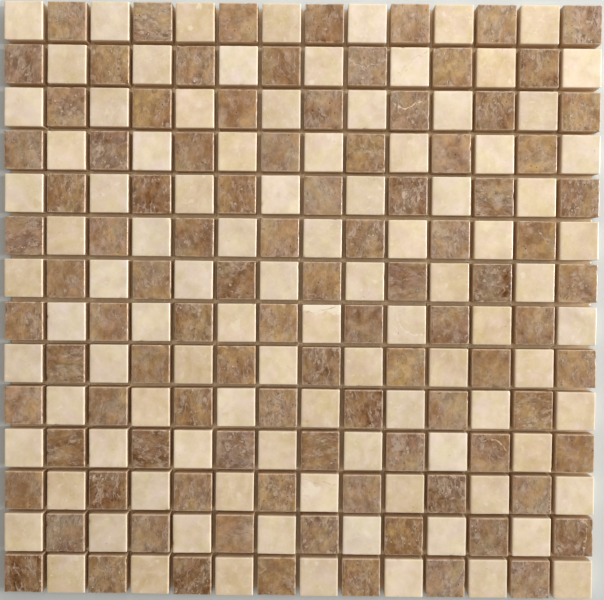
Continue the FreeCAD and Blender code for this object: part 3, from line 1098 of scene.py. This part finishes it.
class MOSAIC_OT_adhesive(bpy.types.Operator):
    """Spread the adhesive that holds the tiles to the net"""

    bl_idname = "mosaic.adhesive"
    bl_label = "Adhesive"

    def execute(self, context):
        look = context.scene.mosaic.net
        hand = random.Random(look.yarn_sides + 1)
        whole = bmesh.new()
        for node_name in CREAM_NODES + BROWN_NODES:
            for _, centre, turn in tile_places(node_name):
                patch = glue_patch(look, hand)
                down = Vector((0, 0, -look.glue_thickness * hand.uniform(0.02, 0.3)))
                place = Matrix.Translation(centre + down) @ Matrix.Rotation(turn, 4, "Z")
                bmesh.ops.transform(patch, matrix=place, verts=patch.verts[:])
                for point in patch.verts:
                    for axis in (0, 1):
                        point.co[axis] = min(max(point.co[axis], NET_LOW[axis]), NET_HIGH[axis])
                lay(whole, patch)
        new_piece("adhesive", whole, dried_adhesive(), [])
        return {"FINISHED"}


class MOSAIC_OT_stage(bpy.types.Operator):
    """Set out the floor, the light and the camera"""

    bl_idname = "mosaic.stage"
    bl_label = "Floor, light and camera"

    def execute(self, context):
        look = context.scene.mosaic.stage
        scene = context.scene
        scene.view_settings.view_transform = "Standard"

        ground = bmesh.new()
        bmesh.ops.create_grid(ground, x_segments=1, y_segments=1, size=3.0)
        mesh = bpy.data.meshes.new("floor")
        ground.to_mesh(mesh)
        ground.free()
        mesh.materials.append(pale_floor())
        floor = bpy.data.objects.new("floor", mesh)
        scene.collection.objects.link(floor)

        for name, power, place, width, height, colour in (
                ("window", look.window_power, look.window_place, 0.6, 1.1, (0.975, 0.99, 1.0)),
                ("far_light", look.far_power, look.far_place, 0.5, 0.3, (1.0, 0.975, 0.93))):
            light = bpy.data.lights.new(name, "AREA")
            light.shape = "RECTANGLE"
            light.size, light.size_y = width, height
            light.energy = power
            light.color = colour
            lamp = bpy.data.objects.new(name, light)
            lamp.location = place
            lamp.rotation_euler = (-Vector(place)).to_track_quat("-Z", "Y").to_euler()
            scene.collection.objects.link(lamp)

        world = bpy.data.worlds.new("room")
        world.use_nodes = True
        sky = world.node_tree.nodes["Background"]
        sky.inputs["Color"].default_value = (1.0, 0.93, 0.85, 1.0)
        sky.inputs["Strength"].default_value = look.sky
        scene.world = world

        camera = bpy.data.cameras.new("camera")
        camera.lens = look.lens
        camera.sensor_width = 36.0
        camera.clip_start, camera.clip_end = 0.01, 20.0
        stand = bpy.data.objects.new("camera", camera)
        stand.rotation_mode = "ZYX"
        stand.location = look.camera_place
        stand.rotation_euler = look.camera_turn
        scene.collection.objects.link(stand)
        scene.camera = stand
        return {"FINISHED"}


class MOSAIC_PT_sheet(bpy.types.Panel):
    """Builds the sheet and holds its settings."""

    bl_label = "Mosaic sheet"
    bl_idname = "MOSAIC_PT_sheet"
    bl_space_type = "VIEW_3D"
    bl_region_type = "UI"
    bl_category = "Mosaic"

    def draw(self, context):
        settings = context.scene.mosaic
        for group in (settings.tile, settings.cream, settings.brown, settings.net, settings.stage):
            box = self.layout.box()
            for name in group.__annotations__:
                box.prop(group, name)
        for operator in OPERATORS:
            self.layout.operator(operator.bl_idname)


OPERATORS = (
    MOSAIC_OT_cream_tiles, MOSAIC_OT_brown_tiles, MOSAIC_OT_backing_net, MOSAIC_OT_adhesive, MOSAIC_OT_stage)
CLASSES = (
    TileSettings, CreamSettings, BrownSettings, NetSettings, StageSettings, MosaicSettings, *OPERATORS,
    MOSAIC_PT_sheet)


def register():
    for kind in CLASSES:
        bpy.utils.register_class(kind)
    bpy.types.Scene.mosaic = bpy.props.PointerProperty(type=MosaicSettings)


def unregister():
    del bpy.types.Scene.mosaic
    for kind in reversed(CLASSES):
        bpy.utils.unregister_class(kind)


def main():
    register()
    for make_group in SHARED_GROUPS:
        make_group()
    bpy.ops.mosaic.cream_tiles()
    bpy.ops.mosaic.brown_tiles()
    bpy.ops.mosaic.backing_net()
    bpy.ops.mosaic.adhesive()
    bpy.ops.mosaic.stage()


if __name__ == "__main__":
    main()
